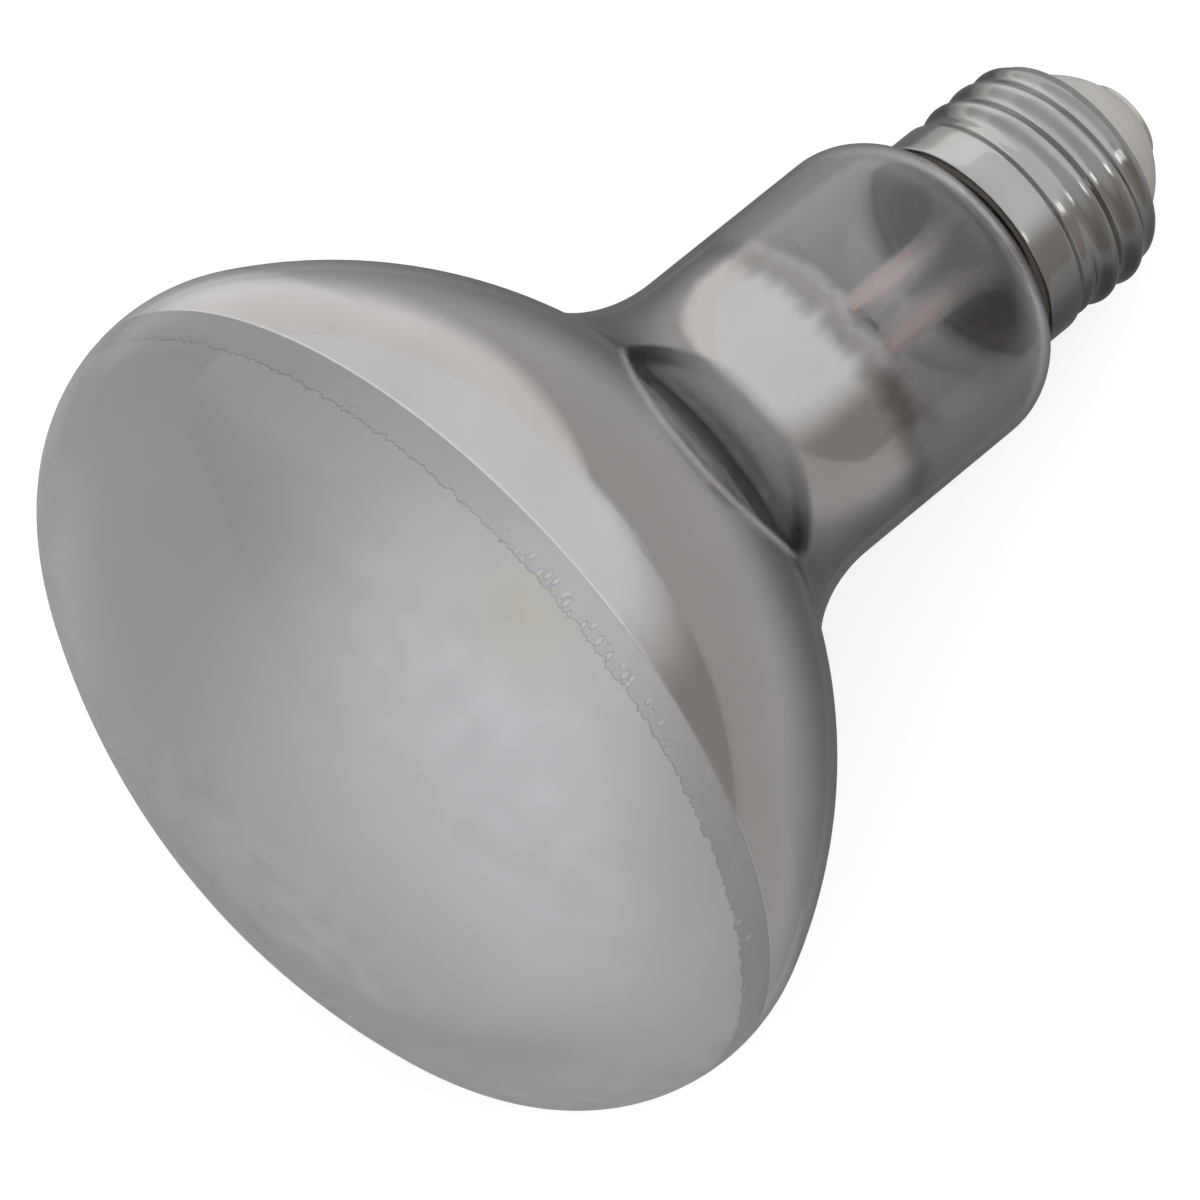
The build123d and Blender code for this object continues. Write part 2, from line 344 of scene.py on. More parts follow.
class NodeBoard:
    """A small hand for wiring shader nodes."""

    def __init__(self, tree: Tree) -> None:
        """Keeps the tree that nodes go into."""
        self.tree = tree

    def add(self, kind: str, **settings: object) -> Node:
        """Adds a node.

        Args:
            kind: Type name of the node.
            settings: Properties of the node.

        Returns:
            The new node.
        """
        node = self.tree.nodes.new(kind)
        for name, value in settings.items():
            setattr(node, name, value)
        return node

    def group(self, tree: Tree, **values: float) -> Node:
        """Places a shared group.

        Args:
            tree: The group.
            values: Values of its inputs, named with underscores.

        Returns:
            The group's node.
        """
        node = self.add("ShaderNodeGroup", node_tree=tree)
        for name, value in values.items():
            node.inputs[name.replace("_", " ")].default_value = value
        return node

    def link(self, source: Socket, target: Socket) -> None:
        """Links an output to an input."""
        self.tree.links.new(source, target)

    def feed(self, value: object, socket: Socket) -> None:
        """Sets an input to a number or a colour, or links a socket to it.

        Args:
            value: Number, colour or socket.
            socket: The input.
        """
        if isinstance(value, Socket):
            self.link(value, socket)
        else:
            socket.default_value = value

    def maths(self, operation: str, *values: object) -> Socket:
        """Adds a Math node.

        Args:
            operation: What the node works out.
            values: Sockets or numbers for its inputs, in order.

        Returns:
            The result's socket.
        """
        node = self.add("ShaderNodeMath", operation=operation)
        for socket, value in zip(node.inputs, values):
            self.feed(value, socket)
        return node.outputs[0]

    def measure(self, operation: str, point: Socket, other: Vector | None = None) -> Socket:
        """Adds a Vector Math node that gives a number.

        Args:
            operation: What the node works out.
            point: Socket with a point or a direction.
            other: Second point or direction, where the operation takes one.

        Returns:
            The result's socket.
        """
        node = self.add("ShaderNodeVectorMath", operation=operation)
        self.link(point, node.inputs[0])
        if other is not None:
            node.inputs[1].default_value = other
        return node.outputs["Value"]

    def ramp(self, value: Socket, span: Span) -> Socket:
        """Adds a smooth Map Range node.

        Args:
            value: Socket to read.
            span: Limits and results of the change.

        Returns:
            The result's socket.
        """
        node = self.add("ShaderNodeMapRange", interpolation_type="SMOOTHSTEP")
        limits = {"From Min": span.low, "From Max": span.high, "To Min": span.start, "To Max": span.end}
        for name, given in {"Value": value, **limits}.items():
            self.feed(given, node.inputs[name])
        return node.outputs["Result"]

    def blend(self, share: Socket, first: object, second: object) -> Socket:
        """Mixes two colours.

        Args:
            share: How much of the second colour shows.
            first: Colour or socket.
            second: Colour or socket.

        Returns:
            The mixed colour's socket.
        """
        node = self.add("ShaderNodeMix", data_type="RGBA")
        self.feed(share, node.inputs["Factor"])
        for value, name in ((first, "A"), (second, "B")):
            self.feed(value if isinstance(value, Socket) else (*value, 1.0), node.inputs[name])
        return node.outputs["Result"]


class LampGroups:
    """Shader node groups that the finishes share."""

    TOOTH_SCALE = (1.0, 1.0, 0.35)
    TOOTH_DETAIL = 2.0
    TOOTH_ROUGHNESS = 0.65
    # The painted dark lens between bowl and neck, a painted reflection in the hollow, in millimetres from the
    # tip and to the side
    LENS = {"Place": 71.5, "Reach": 9.8, "Side": -2.3, "Width": 13.8, "Soft from": 61.5, "Soft to": 70.0}
    LENS_EDGE = Span(0.80, 1.02, 1.0, 0.0)
    UPPER_SIDE = Span(-2.0, 2.0)

    def __init__(self, axis: LampAxis) -> None:
        """Makes the groups for a lamp on the given axis."""
        self.axis = axis
        self.coordinates = self.make_coordinates()
        self.ragged = self.make_ragged()
        self.hollow = self.make_painted_lens()
        self.mottle = self.make_mottle()

    @staticmethod
    def start(name: str, inputs: dict[str, float], outputs: dict[str, Kind]) -> tuple[NodeBoard, Node, Node]:
        """Starts a node group.

        Args:
            name: Name of the group.
            inputs: Number inputs with their first values.
            outputs: Outputs with the kind of each.

        Returns:
            The group's board, its input node and its output node.
        """
        tree = bpy.data.node_groups.new(name, "ShaderNodeTree")
        for label, value in inputs.items():
            socket = tree.interface.new_socket(label, in_out="INPUT", socket_type=Kind.NUMBER.value)
            socket.default_value = value
        for label, kind in outputs.items():
            tree.interface.new_socket(label, in_out="OUTPUT", socket_type=kind.value)
        board = NodeBoard(tree)
        return board, board.add("NodeGroupInput"), board.add("NodeGroupOutput")

    def make_coordinates(self) -> Tree:
        """Makes the group that gives a point in the lamp's own frame, in millimetres.

        Returns:
            The node group, with the point, its place along the axis, its side and its height.
        """
        outputs = {"Vector": Kind.VECTOR, "Place": Kind.NUMBER, "Side": Kind.NUMBER, "Up": Kind.NUMBER}
        board, _, out = self.start("lamp_coordinates", {}, outputs)
        texture = board.add("ShaderNodeTexCoord")
        mapping = board.add("ShaderNodeMapping", vector_type="POINT")
        turn = self.axis.from_row()
        mapping.inputs["Rotation"].default_value = turn.to_euler("XYZ")
        mapping.inputs["Scale"].default_value = (1.0 / MM,) * 3
        mapping.inputs["Location"].default_value = -(turn @ self.axis.tip) / MM
        board.link(texture.outputs["Object"], mapping.inputs["Vector"])
        parts = board.add("ShaderNodeSeparateXYZ")
        board.link(mapping.outputs["Vector"], parts.inputs[0])
        board.link(mapping.outputs["Vector"], out.inputs["Vector"])
        for part, name in (("Z", "Place"), ("Y", "Side"), ("X", "Up")):
            board.link(parts.outputs[part], out.inputs[name])
        return board.tree

    def make_ragged(self) -> Tree:
        """Makes the group that is 1 beyond an edge at a place along the axis, with teeth along it.

        Returns:
            The node group.
        """
        inputs = {"Edge": 0.0, "Lean": 0.0, "Depth": 1.0, "Fineness": 1.0, "Softness": 0.1}
        board, given, out = self.start("ragged_edge", inputs, {"Mask": Kind.NUMBER})
        where = board.group(self.coordinates)
        flatten = board.add("ShaderNodeMapping", vector_type="POINT")
        flatten.inputs["Scale"].default_value = self.TOOTH_SCALE
        board.link(where.outputs["Vector"], flatten.inputs["Vector"])
        teeth = board.add("ShaderNodeTexNoise")
        board.link(flatten.outputs["Vector"], teeth.inputs["Vector"])
        board.link(given.outputs["Fineness"], teeth.inputs["Scale"])
        teeth.inputs["Detail"].default_value = self.TOOTH_DETAIL
        teeth.inputs["Roughness"].default_value = self.TOOTH_ROUGHNESS
        middle = board.maths("SUBTRACT", teeth.outputs[0], 0.5)
        shift = board.maths("MULTIPLY", middle, given.outputs["Depth"])
        edge = board.maths("ADD", given.outputs["Edge"], shift)
        edge = board.maths("MULTIPLY_ADD", where.outputs["Side"], given.outputs["Lean"], edge)
        beyond = board.maths("SUBTRACT", where.outputs["Place"], edge)
        soft = board.maths("DIVIDE", beyond, given.outputs["Softness"])
        board.link(board.ramp(soft, Span(-1.0, 1.0)), out.inputs["Mask"])
        return board.tree

    def make_painted_lens(self) -> Tree:
        """Makes the group that is 1 inside the lens of painted dark reflection in the hollow between bowl and
        neck, on the upper side.

        Returns:
            The node group.
        """
        board, given, out = self.start("painted_reflection_lens", self.LENS, {"Mask": Kind.NUMBER})
        where = board.group(self.coordinates)
        squares = []
        for name, size in (("Place", "Reach"), ("Side", "Width")):
            off = board.maths("SUBTRACT", where.outputs[name], given.outputs[name])
            squares.append(board.maths("POWER", board.maths("DIVIDE", off, given.outputs[size]), 2.0))
        lens = board.ramp(board.maths("ADD", *squares), self.LENS_EDGE)
        softens = Span(given.outputs["Soft from"], given.outputs["Soft to"])
        soft = board.ramp(where.outputs["Place"], softens)
        upper = board.ramp(where.outputs["Up"], self.UPPER_SIDE)
        mask = board.maths("MULTIPLY", board.maths("MULTIPLY", lens, soft), upper)
        board.link(mask, out.inputs["Mask"])
        return board.tree

    def make_mottle(self) -> Tree:
        """Makes the group that gives slow and fine variation over a surface.

        Returns:
            The node group.
        """
        inputs = {"Patch size": 10.0, "Grain size": 0.6}
        outputs = {"Patches": Kind.NUMBER, "Grain": Kind.NUMBER}
        board, given, out = self.start("mottle", inputs, outputs)
        where = board.group(self.coordinates)
        for source, target in zip(inputs, outputs):
            noise = board.add("ShaderNodeTexNoise")
            board.link(where.outputs["Vector"], noise.inputs["Vector"])
            board.link(board.maths("DIVIDE", 1.0, given.outputs[source]), noise.inputs["Scale"])
            noise.inputs["Detail"].default_value = 0.0
            board.link(noise.outputs[0], out.inputs[target])
        return board.tree


class Finish:
    """A material under construction: its board, its shader and the shared groups."""

    def __init__(self, name: str, groups: LampGroups) -> None:
        """Starts a material with a bare Principled shader."""
        self.material = bpy.data.materials.new(name)
        self.material.use_nodes = True
        self.board = NodeBoard(self.material.node_tree)
        self.groups = groups
        nodes = self.material.node_tree.nodes
        self.shader = next(node for node in nodes if node.type == "BSDF_PRINCIPLED")
        self.output = next(node for node in nodes if node.type == "OUTPUT_MATERIAL")

    def set(self, **values: object) -> None:
        """Sets plain values on the shader's own sockets, named with underscores."""
        for name, value in values.items():
            self.shader.inputs[name.replace("_", " ")].default_value = value

    def feed(self, name: str, source: Socket) -> None:
        """Links a pattern to one of the shader's sockets."""
        self.board.link(source, self.shader.inputs[name])

    def at(self, name: str) -> Socket:
        """One of the point's coordinates, by its name in the group."""
        return self.board.group(self.groups.coordinates).outputs[name]

    def level(self, lean: float) -> Socket:
        """Place along the axis, measured from a plane that leans sideways by the given slope."""
        return self.board.maths("MULTIPLY_ADD", self.at("Side"), -lean, self.at("Place"))

    def patches(self, size: float) -> Socket:
        """Slow variation with patches of a size in millimetres."""
        return self.board.group(self.groups.mottle, Patch_size=size).outputs["Patches"]

    def grain(self, size: float) -> Socket:
        """Fine variation with grains of a size in millimetres."""
        return self.board.group(self.groups.mottle, Grain_size=size).outputs["Grain"]

    def vary(self, noise: Socket, low: float, high: float) -> Socket:
        """Spreads a value over the range of a noise."""
        return self.board.ramp(noise, Span(NOISE_LOW, NOISE_HIGH, low, high))

    def hollow(self) -> Socket:
        """Mask of the lens of painted dark reflection in the hollow."""
        return self.board.group(self.groups.hollow).outputs["Mask"]

    def ragged(self, edge: float, teeth: Teeth, lean: float = 0.0) -> Socket:
        """Mask that is 1 beyond a ragged edge across the axis.

        Args:
            edge: Place of the edge along the axis, in millimetres.
            teeth: Teeth along the edge.
            lean: Slope of the edge's plane to the side.

        Returns:
            The mask's socket.
        """
        sizes = {"Depth": teeth.depth, "Fineness": teeth.fineness, "Softness": teeth.softness}
        return self.board.group(self.groups.ragged, Edge=edge, Lean=lean, **sizes).outputs["Mask"]

    def bump(self, height: Socket, distance: float) -> None:
        """Adds relief.

        Args:
            height: Socket with the relief.
            distance: Height of the relief in millimetres.
        """
        node = self.board.add("ShaderNodeBump")
        node.inputs["Strength"].default_value = 1.0
        node.inputs["Distance"].default_value = distance * MM
        self.board.link(height, node.inputs["Height"])
        self.feed("Normal", node.outputs["Normal"])

    def let_lamps_through(self, tint: Color) -> None:
        """Lets light from the lamps pass the glass, so that what is behind it is lit.

        Args:
            tint: Share of the light that passes one surface.
        """
        path = self.board.add("ShaderNodeLightPath")
        clear = self.board.add("ShaderNodeBsdfTransparent")
        clear.inputs["Color"].default_value = (*tint, 1.0)
        mix = self.board.add("ShaderNodeMixShader")
        self.board.link(path.outputs[Ray.SHADOW.value], mix.inputs[0])
        self.board.link(self.shader.outputs[0], mix.inputs[1])
        self.board.link(clear.outputs[0], mix.inputs[2])
        self.board.link(mix.outputs[0], self.output.inputs["Surface"])


# Finishes


@dataclass(frozen=True)
class Teeth:
    """Teeth of a ragged edge: their reach in millimetres, how many there are to one, and their blur."""

    depth: float
    fineness: float
    softness: float


@dataclass(frozen=True)
class FilmEdges:
    """Where the films inside the glass end, along the axis in millimetres."""

    neck: float = 49.6
    neck_teeth: Teeth = Teeth(3.8, 0.34, 4.2)
    rim: float = 103.8
    rim_blur: float = 0.06
    frost: float = 107.3
    frost_teeth: Teeth = Teeth(1.5, 0.9, 0.15)
    lean: float = 0.034

    def mirror_starts(self, finish: Finish) -> Socket:
        """Mask that grows from 0 to 1 across the mirror's smudged end on the neck."""
        return finish.ragged(self.neck, self.neck_teeth)

    def mirror_ends(self, finish: Finish) -> Socket:
        """Mask that is 1 beyond the mirror's sharp edge at the rim."""
        edge = Span(self.rim - self.rim_blur, self.rim + self.rim_blur)
        return finish.board.ramp(finish.level(self.lean), edge)

    def frost_starts(self, finish: Finish) -> Socket:
        """Mask that is 1 beyond the frost's toothed edge."""
        return finish.ragged(self.frost, self.frost_teeth, self.lean)


@dataclass(frozen=True)
class EtchMarks:
    """Small bubbles that the etching left along the frost's edge, most of them on one stretch."""

    set_back: float = 0.675
    near: Span = Span(0.525, 1.05, 1.0, 0.0)
    length: float = 0.45
    scale: float = 1.3
    side: float = -12.0
    dense: Span = Span(7.5, 15.0, 1.0, 0.0)
    sparse: Span = Span(0.50, 0.62, 0.0, 0.45)
    kept: Span = Span(0.50, 0.56)
    bubble: Span = Span(0.20, 0.28, 1.0, 0.0)
    ring_radius: float = 0.35
    ring: Span = Span(0.03, 0.09, 0.6, 0.0)

    def masks(self, finish: Finish, edges: FilmEdges, patches: Socket) -> tuple[Socket, Socket]:
        """Draws the marks.

        Args:
            finish: The material under construction.
            edges: Where the films end.
            patches: Variation that thins the bubbles out.

        Returns:
            Masks of the bright bubbles and of their dark outlines.
        """
        board = finish.board
        flat = board.add("ShaderNodeCombineXYZ")
        board.link(finish.at("Side"), flat.inputs["X"])
        board.link(board.maths("MULTIPLY", finish.at("Place"), self.length), flat.inputs["Y"])
        cells = board.add("ShaderNodeTexVoronoi", feature="F1", voronoi_dimensions="2D")
        cells.inputs["Scale"].default_value = self.scale
        board.link(flat.outputs["Vector"], cells.inputs["Vector"])
        before = board.maths("SUBTRACT", edges.frost - self.set_back, finish.level(edges.lean))
        near = board.ramp(board.maths("ABSOLUTE", before), self.near)
        off = board.maths("ABSOLUTE", board.maths("SUBTRACT", finish.at("Side"), self.side))
        dense = board.maths("MAXIMUM", board.ramp(off, self.dense), board.ramp(patches, self.sparse))
        chance = board.add("ShaderNodeSeparateColor")
        board.link(cells.outputs["Color"], chance.inputs[0])
        spots = board.maths("MULTIPLY", near, dense)
        spots = board.maths("MULTIPLY", spots, board.ramp(chance.outputs[0], self.kept))
        bubbles = board.ramp(cells.outputs["Distance"], self.bubble)
        rings = board.maths("ABSOLUTE", board.maths("SUBTRACT", cells.outputs["Distance"], self.ring_radius))
        rings = board.ramp(rings, self.ring)
        return board.maths("MULTIPLY", spots, bubbles), board.maths("MULTIPLY", spots, rings)


@dataclass(frozen=True)
class BulbGlass:
    """Blown glass with a grey haze inside the neck and frost inside the face. Sizes in millimetres."""

    outside: Color = (0.74, 0.725, 0.73)
    outside_shade: float = 0.985
    outside_patch: float = 18.0
    outside_smooth: float = 0.012
    outside_rough: float = 0.022
    outside_neck: Color = (0.93, 0.905, 0.92)
    neck_fade: float = 5.0
    haze: Color = (0.95, 0.92, 0.935)
    haze_rough: float = 0.11
    # Painted shade: the haze is darker on one side of the neck
    painted_shade_haze: Color = (0.52, 0.50, 0.505)
    lit: Span = Span(-15.0, 0.0)
    # Painted shade: a dark band inside the shoulder, where the dark inside of the cap shows through
    shoulder: Color = (0.16, 0.155, 0.155)
    above_shoulder: Span = Span(26.2, 27.2)
    behind_mirror: Color = (0.70, 0.69, 0.685)
    behind_blur: float = 1.0
    face: Color = (0.93, 0.93, 0.96)
    frost_patch: float = 3.5
    frost_low: float = 0.50
    frost_high: float = 0.58
    # Painted reflection: a faint yellowish patch on one part of the face
    warm_reflection_tint: Color = (0.90, 0.87, 0.67)
    warm_place: float = 110.2
    warm_radius: float = 46.0
    warm_turn: float = -0.13
    warm_fades: Span = Span(1.0, 10.0, 0.95, 0.0)
    # Painted shade and painted light: the bare band is darker on one side of the lamp and lighter on the
    # other
    band_in_painted_shade: Color = (0.42, 0.41, 0.41)
    clear_band: Color = (0.68, 0.665, 0.68)
    clears: Span = Span(-40.0, -22.0)
    band_in_painted_light: Color = (0.86, 0.85, 0.865)
    lightens: Span = Span(-4.0, 18.0)
    band_rough: float = 0.42
    bubble: Color = (0.97, 0.97, 0.94)
    mark: Color = (0.24, 0.235, 0.24)
    tooth_outline: float = 3.2
    marks: EtchMarks = EtchMarks()
    hollow_gloss: float = 0.15
    ior: float = 1.5

    def outer(self, groups: LampGroups, edges: FilmEdges) -> Material:
        """Makes the smooth outside of the glass.

        Args:
            groups: The shared node groups.
            edges: Where the films end.

        Returns:
            The material.
        """
        finish = Finish("bulb_glass_smooth", groups)
        board = finish.board
        finish.set(Transmission_Weight=1.0, IOR=self.ior)
        patches = finish.patches(self.outside_patch)
        shaded = tuple(value * self.outside_shade for value in self.outside)
        color = board.blend(patches, self.outside, shaded)
        neck = board.ramp(finish.at("Place"), Span(edges.neck - self.neck_fade, edges.neck, 1.0, 0.0))
        finish.feed("Base Color", board.blend(neck, color, self.outside_neck))
        finish.feed("Roughness", finish.vary(patches, self.outside_smooth, self.outside_rough))
        self.open_hollow(finish)
        finish.let_lamps_through(self.outside)
        return finish.material

    def inner(self, groups: LampGroups, edges: FilmEdges) -> Material:
        """Makes the inside of the glass: hazy in the neck, clear behind the mirror and frosted at the face.

        Args:
            groups: The shared node groups.
            edges: Where the films end.

        Returns:
            The material.
        """
        finish = Finish("bulb_glass_frosted", groups)
        board = finish.board
        finish.set(Transmission_Weight=1.0, IOR=self.ior)
        past_rim = edges.mirror_ends(finish)
        frosted = edges.frost_starts(finish)
        patches = finish.patches(self.frost_patch)
        bubbles, outlines = self.marks.masks(finish, edges, patches)
        mirrored = Span(edges.neck - self.behind_blur, edges.neck + self.behind_blur)
        behind = board.ramp(finish.at("Place"), mirrored)
        color = board.blend(behind, self.neck_color(finish), self.behind_mirror)
        face = board.blend(self.warm_reflection_mask(finish), self.face, self.warm_reflection_tint)
        band = board.blend(bubbles, self.band_color(finish), self.bubble)
        color = board.blend(past_rim, color, board.blend(frosted, band, face))
        teeth = board.maths("MULTIPLY", frosted, board.maths("SUBTRACT", 1.0, frosted))
        outlines = board.maths("MAXIMUM", outlines, board.maths("MULTIPLY", teeth, self.tooth_outline))
        finish.feed("Base Color", board.blend(outlines, color, self.mark))
        frost = finish.vary(patches, self.frost_low, self.frost_high)
        hazy = board.ramp(behind, Span(0.0, 1.0, self.haze_rough, 0.0))
        rough = board.maths("ADD", board.maths("MULTIPLY", past_rim, self.band_rough), hazy)
        finish.feed("Roughness", board.maths("MAXIMUM", rough, board.maths("MULTIPLY", frosted, frost)))
        self.open_hollow(finish)
        finish.let_lamps_through(self.face)
        return finish.material

    def open_hollow(self, finish: Finish) -> None:
        """Takes most of the gloss from the hollow, so that the painted dark reflection on the film behind it
        shows.
        """
        gloss = finish.board.maths("MULTIPLY_ADD", finish.hollow(), self.hollow_gloss - 1.0, 1.0)
        finish.feed("Alpha", gloss)

    def neck_color(self, finish: Finish) -> Socket:
        """Haze inside the neck, with painted shade on one side and a painted dark band at the shoulder.

        Args:
            finish: The material under construction.

        Returns:
            The colour's socket.
        """
        board = finish.board
        haze = board.blend(board.ramp(finish.at("Side"), self.lit), self.painted_shade_haze, self.haze)
        return board.blend(board.ramp(finish.at("Place"), self.above_shoulder), self.shoulder, haze)

    def band_color(self, finish: Finish) -> Socket:
        """Bare band between mirror and frost, with painted shade on one side that lightens to painted light
        on the other.

        Args:
            finish: The material under construction.

        Returns:
            The colour's socket.
        """
        board = finish.board
        side = finish.at("Side")
        band = board.blend(board.ramp(side, self.clears), self.band_in_painted_shade, self.clear_band)
        return board.blend(board.ramp(side, self.lightens), band, self.band_in_painted_light)

    def warm_reflection_mask(self, finish: Finish) -> Socket:
        """Faint yellowish reflection painted on one part of the face.

        Args:
            finish: The material under construction.

        Returns:
            The mask's socket.
        """
        up = self.warm_radius * math.cos(self.warm_turn)
        side = self.warm_radius * math.sin(self.warm_turn)
        distance = finish.board.measure("DISTANCE", finish.at("Vector"), Vector((up, side, self.warm_place)))
        return finish.board.ramp(distance, self.warm_fades)


@dataclass(frozen=True)
class MirrorFilm:
    """Silvery film inside the bowl and part of the neck, with a painted dark reflection in the hollow, and
    dark at its smudged end.
    """

    silver: Color = (0.80, 0.785, 0.765)
    dull: Color = (0.70, 0.68, 0.655)
    silver_inside: Color = (0.93, 0.92, 0.915)
    dull_inside: Color = (0.87, 0.86, 0.85)
    patch: float = 9.0
    gloss: Span = Span(NOISE_LOW, 0.75, 0.07, 0.12)
    # Painted highlight: a thin bright stripe along the film's sharp edge at the rim
    edge: Color = (0.95, 0.95, 0.95)
    highlight_from: float = 0.3
    highlight_full: float = 0.15
    smudge: Color = (0.31, 0.285, 0.267)
    covers: Span = Span(0.03, 0.5)
    clean: Span = Span(0.5, 0.97)
    # Painted reflection in the hollow: a dark film with paler streaks, paler towards the neck and on one side
    hollow: Color = (0.045, 0.045, 0.042)
    streak: Color = (0.22, 0.215, 0.205)
    streak_scale: float = 0.42
    streaks: Span = Span(0.42, 0.64, 0.25, 1.0)
    pale: Span = Span(65.0, 78.0, 1.0, 0.12)
    lit: Span = Span(-15.0, 4.0, 0.2, 1.0)

    def start(self, name: str, groups: LampGroups, edges: FilmEdges) -> tuple[Finish, Socket, Socket]:
        """Starts one side of the film, with its gloss and the share of the glass that it covers.

        Args:
            name: Name of the material.
            groups: The shared node groups.
            edges: Where the film ends.

        Returns:
            The finish, its patches and the mask of the smudged end.
        """
        finish = Finish(name, groups)
        board = finish.board
        finish.set(Metallic=1.0)
        patches = finish.patches(self.patch)
        starts = edges.mirror_starts(finish)
        before_rim = board.maths("SUBTRACT", 1.0, edges.mirror_ends(finish))
        finish.feed("Roughness", board.ramp(patches, self.gloss))
        finish.feed("Alpha", board.maths("MULTIPLY", board.ramp(starts, self.covers), before_rim))
        return finish, patches, starts

    def outside(self, groups: LampGroups, edges: FilmEdges) -> Material:
        """Makes the side of the film that shows through the glass of the bowl.

        Args:
            groups: The shared node groups.
            edges: Where the film ends.

        Returns:
            The material.
        """
        finish, patches, starts = self.start("mirror_film", groups, edges)
        board = finish.board
        silver = board.blend(patches, self.silver, self.dull)
        # Paints the highlight along the rim
        rim_highlight = Span(edges.rim - self.highlight_from, edges.rim - self.highlight_full)
        silver = board.blend(board.ramp(finish.level(edges.lean), rim_highlight), silver, self.edge)
        silver = board.blend(finish.hollow(), silver, self.painted_hollow_reflection(finish))
        finish.feed("Base Color", board.blend(board.ramp(starts, self.clean), self.smudge, silver))
        return finish.material

    def inside(self, groups: LampGroups, edges: FilmEdges) -> Material:
        """Makes the side of the film that faces the filament.

        Args:
            groups: The shared node groups.
            edges: Where the film ends.

        Returns:
            The material.
        """
        finish, patches, _ = self.start("mirror_film_inside", groups, edges)
        finish.feed("Base Color", finish.board.blend(patches, self.silver_inside, self.dull_inside))
        return finish.material

    def painted_hollow_reflection(self, finish: Finish) -> Socket:
        """Painted reflection in the hollow: dark towards the bowl, paler towards the neck and on one side,
        and streaked round the lamp.

        Args:
            finish: The material under construction.

        Returns:
            The colour's socket.
        """
        board = finish.board
        noise = board.add("ShaderNodeTexNoise", noise_dimensions="1D")
        board.link(finish.at("Place"), noise.inputs["W"])
        noise.inputs["Scale"].default_value = self.streak_scale
        streaks = board.ramp(noise.outputs[0], self.streaks)
        lit = board.ramp(finish.at("Side"), self.lit)
        pale = board.maths("MULTIPLY", board.ramp(finish.at("Place"), self.pale), lit)
        return board.blend(board.maths("MULTIPLY", pale, streaks), self.hollow, self.streak)


@dataclass(frozen=True)
class StemGlass:
    """Drawn glass of the stem, clear where it is seen straight on and pale and opaque at its edges, a painted
    sheen.
    """

    name: str
    color: Color = (0.60, 0.53, 0.48)
    pale: Color = (0.66, 0.60, 0.555)
    patch: float = 4.0
    smooth: float = 0.05
    rough: float = 0.12
    # Painted sheen: the stem turns pale and opaque where its surface turns away from the view
    painted_edge_sheen: Span = Span(0.10, 0.25, 0.05, 0.85)
    past_flare: Span = Span(23.0, 36.0, 0.3, 1.0)
    transmission: float = 0.45
    ior: float = 1.5

    def make(self, groups: LampGroups) -> Material:
        """Makes the stem's material.

        Args:
            groups: The shared node groups.

        Returns:
            The material.
        """
        finish = Finish(self.name, groups)
        board = finish.board
        finish.set(Transmission_Weight=self.transmission, IOR=self.ior)
        patches = finish.patches(self.patch)
        finish.feed("Base Color", board.blend(patches, self.color, self.pale))
        finish.feed("Roughness", finish.vary(patches, self.smooth, self.rough))
        slant = board.add("ShaderNodeLayerWeight").outputs["Facing"]
        tube = board.ramp(finish.at("Place"), self.past_flare)
        finish.feed("Alpha", board.maths("MULTIPLY", board.ramp(slant, self.painted_edge_sheen), tube))
        finish.let_lamps_through(self.color)
        return finish.material


@dataclass(frozen=True)
class Metal:
    """Plain metal with slow patches, a fine grain and some dullness."""

    name: str
    bright: Color
    dull: Color
    smooth: float
    rough: float
    patch: float = 5.0
    grain: float = 0.4
    relief: float = 0.004

    def make(self, groups: LampGroups) -> Material:
        """Makes the metal's material.

        Args:
            groups: The shared node groups.

        Returns:
            The material.
        """
        finish = Finish(self.name, groups)
        finish.set(Metallic=1.0)
        patches = finish.patches(self.patch)
        finish.feed("Base Color", self.color(finish, patches))
        finish.feed("Roughness", finish.vary(patches, self.smooth, self.rough))
        finish.bump(finish.grain(self.grain), self.relief)
        return finish.material

    def color(self, finish: Finish, patches: Socket) -> Socket:
        """Mixes the bright and the dull colour by the patches."""
        return finish.board.blend(patches, self.bright, self.dull)


@dataclass(frozen=True)
class Thread:
    """The rolled thread: where it starts and ends along the axis, and its pitch, in millimetres."""

    place: float = 8.8
    end: float = 19.3
    pitch: float = 3.63


@dataclass(frozen=True)
class RolledMetal(Metal):
    """Sheet metal with a rolled thread, with painted shade on the flanks that face one way and on one side of
    the shell.
    """

    thread: Thread = Thread()
    thread_fade: float = 2.0
    # Painted shade on the thread's flanks that face one way
    painted_flank_shade: Color = (0.20, 0.193, 0.185)
    steep: Span = Span(0.35, 0.95, 0.0, 0.75)
    # Painted shade on one side of the shell
    painted_side_shade: Color = (0.15, 0.143, 0.136)
    shaded_side: Span = Span(-12.0, -6.5, 0.8, 0.0)

    def color(self, finish: Finish, patches: Socket) -> Socket:
        """Paints shade on the thread's flanks that face one way and on one side of the shell.

        Args:
            finish: The material under construction.
            patches: Variation over the sheet.

        Returns:
            The colour's socket.
        """
        board = finish.board
        turn = board.maths("ARCTAN2", finish.at("Side"), finish.at("Up"))
        along = board.maths("SUBTRACT", finish.at("Place"), self.thread.place)
        phase = board.maths("SUBTRACT", board.maths("MULTIPLY", along, math.tau / self.thread.pitch), turn)
        steep = board.ramp(board.maths("SINE", phase), self.steep)
        fades = Span(self.thread.end - self.thread_fade, self.thread.end, 1.0, 0.0)
        painted_flank_shade = board.maths("MULTIPLY", steep, board.ramp(finish.at("Place"), fades))
        color = board.blend(painted_flank_shade, super().color(finish, patches), self.painted_flank_shade)
        return board.blend(board.ramp(finish.at("Side"), self.shaded_side), color, self.painted_side_shade)


